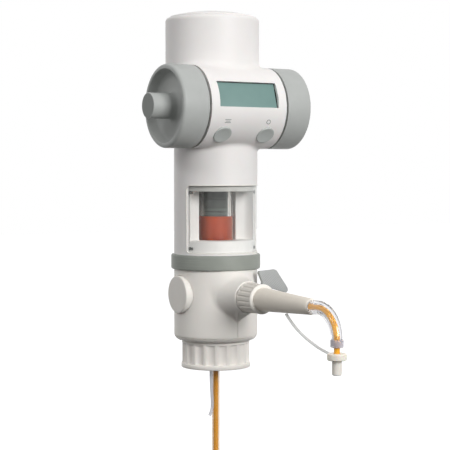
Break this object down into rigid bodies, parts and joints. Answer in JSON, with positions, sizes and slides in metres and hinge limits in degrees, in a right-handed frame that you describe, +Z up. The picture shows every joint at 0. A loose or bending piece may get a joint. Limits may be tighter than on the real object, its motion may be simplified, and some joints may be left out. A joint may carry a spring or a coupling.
{
  "type": "digital burette",
  "caption": "Bottle-top burette: screw collar, valve housing with nozzle and tip cap, windowed column, cross drum with display, hand wheels and a round cap.",
  "frame": {"origin": "centre of the screw collar's lower rim, on the column's axis", "axes": "+Z up the column, -Y to the front with display and nozzle, X along the hand wheels' axis"},
  "size_m": [0.14, 0.2096, 0.4735],
  "materials": {
    "white_moulding": "satin moulded plastic",
    "carrier_white": "matt moulded plastic",
    "wheel_grey": "fine moulded grain",
    "ring_grey": "fine moulded grain",
    "lever_grey": "knurled thumb pad",
    "valve_polymer": "turned fluoropolymer",
    "seal_rubber": "moulded elastomer",
    "ceramic_ball": "polished ceramic",
    "barrel_glass": "clear borosilicate",
    "clear_cover": "clear moulded plastic",
    "piston_grey": "dark fluoropolymer",
    "lip_polymer": "soft sealing lip",
    "rod_polymer": "moulded rack",
    "shaft_steel": "ground steel",
    "bush_bronze": "sintered bronze",
    "gear_acetal": "acetal",
    "frame_polymer": "glass-filled plastic",
    "board_green": "solder-masked board",
    "switch_black": "black moulded plastic",
    "lcd_film": "blank liquid crystal panel",
    "battery_can": "wrapped steel can",
    "amber_tube": "clear tube full of amber liquid",
    "clear_tube": "translucent fluoropolymer tube"
  },
  "bodies": {
    "head": {"collar_retainer": "white_moulding", "bottle_seal": "seal_rubber", "base_plate": "white_moulding", "valve_housing": "white_moulding", "valve_block": "valve_polymer", "outlet_stem": "valve_polymer", "barrel_seal": "seal_rubber", "glass_barrel": "barrel_glass", "barrel_carrier": "carrier_white", "window_cover": "clear_cover", "cover_clips": "seal_rubber", "head_shell": "white_moulding", "end_plates": "white_moulding", "shaft_bushes": "bush_bronze", "encoder_sensor": "board_green", "gear_bracket": "frame_polymer", "display_board": "board_green", "lcd_panel": "lcd_film", "key_board": "board_green", "key_switches": "switch_black", "battery_holder": "switch_black", "batteries": "battery_can", "nozzle_collar": "white_moulding", "nozzle_sleeve": "white_moulding", "nozzle_elbow": "clear_cover", "dispensing_tube": "amber_tube", "tip_fitting": "white_moulding", "cap_strap": "white_moulding", "filling_tube": "amber_tube", "return_tube": "clear_tube"},
    "collar": {"collar": "white_moulding"},
    "lock_ring": {"lock_ring": "ring_grey"},
    "vent_plug": {"vent_plug": "white_moulding"},
    "valve_lever": {"valve_lever": "lever_grey", "lever_spindle": "valve_polymer"},
    "outlet_nut": {"outlet_nut": "white_moulding"},
    "tip_cap": {"tip_cap": "white_moulding"},
    "top_lid": {"top_lid": "white_moulding"},
    "mode_button": {"mode_button": "wheel_grey"},
    "clear_button": {"clear_button": "wheel_grey"},
    "hand_wheels": {"wheel_left": "wheel_grey", "wheel_right": "wheel_grey", "wheel_shaft": "shaft_steel", "shaft_pinion": "gear_acetal", "encoder_disc": "switch_black"},
    "gear_train": {"gear_shaft": "shaft_steel", "reduction_gear": "gear_acetal", "rack_pinion": "gear_acetal"},
    "piston": {"piston_head": "piston_grey", "piston_lips": "lip_polymer", "piston_rod": "rod_polymer"},
    "suction_ball": {"suction_ball": "ceramic_ball"},
    "discharge_ball": {"discharge_ball": "ceramic_ball"}
  },
  "joints": [
    {"name": "wheels_turn", "type": "hinge", "parent": "head", "child": "hand_wheels", "pos_m": [0, -0.0186, 0.2019], "axis": [1, 0, 0], "range_deg": [-1197.07, 767.35]},
    {"name": "gear_turn", "type": "hinge", "parent": "head", "child": "gear_train", "pos_m": [0, -0.0091, 0.18521], "axis": [1, 0, 0], "range_deg": [-256.29, 399.52]},
    {"name": "piston_slide", "type": "slide", "parent": "head", "child": "piston", "axis": [0, 0, 1], "range_m": [-0.02501, 0.03901]},
    {"name": "collar_spin", "type": "hinge", "parent": "head", "child": "collar", "pos_m": [0, 0, 0.01], "axis": [0, 0, 1], "continuous": true},
    {"name": "ring_turn", "type": "hinge", "parent": "head", "child": "lock_ring", "pos_m": [0, 0, 0.0828], "axis": [0, 0, 1], "range_deg": [0, 60]},
    {"name": "plug_pull", "type": "slide", "parent": "head", "child": "vent_plug", "axis": [-1, 0, 0], "range_m": [0, 0.02]},
    {"name": "lever_turn", "type": "hinge", "parent": "head", "child": "valve_lever", "pos_m": [0.0215, -0.034, 0.0595], "axis": [0, 1, 0], "range_deg": [0, 90]},
    {"name": "nut_spin", "type": "hinge", "parent": "head", "child": "outlet_nut", "pos_m": [0, -0.057, 0.058], "axis": [0, 1, 0], "continuous": true},
    {"name": "tip_cap_pull", "type": "slide", "parent": "head", "child": "tip_cap", "axis": [0, 0, -1], "range_m": [0, 0.018], "deforming": ["cap_strap"]},
    {"name": "lid_lift", "type": "slide", "parent": "head", "child": "top_lid", "axis": [0, 0, 1], "range_m": [0, 0.03]},
    {"name": "mode_press", "type": "slide", "parent": "head", "child": "mode_button", "axis": [0, 0.7314, 0.682], "range_m": [0, 0.0009], "stiffness_N_per_m": 400, "springref_m": -0.001},
    {"name": "clear_press", "type": "slide", "parent": "head", "child": "clear_button", "axis": [0, 0.7314, 0.682], "range_m": [0, 0.0009], "stiffness_N_per_m": 400, "springref_m": -0.001},
    {"name": "suction_lift", "type": "slide", "parent": "head", "child": "suction_ball", "axis": [0, 0, 1], "range_m": [0, 0.0015]},
    {"name": "discharge_lift", "type": "slide", "parent": "head", "child": "discharge_ball", "axis": [0, -1, 0], "range_m": [0, 0.0015]}
  ],
  "couplings": [
    {"joint": "gear_turn", "follows": "wheels_turn", "ratio": -0.33333},
    {"joint": "piston_slide", "follows": "wheels_turn", "m_per_rad": -0.0018667}
  ]
}
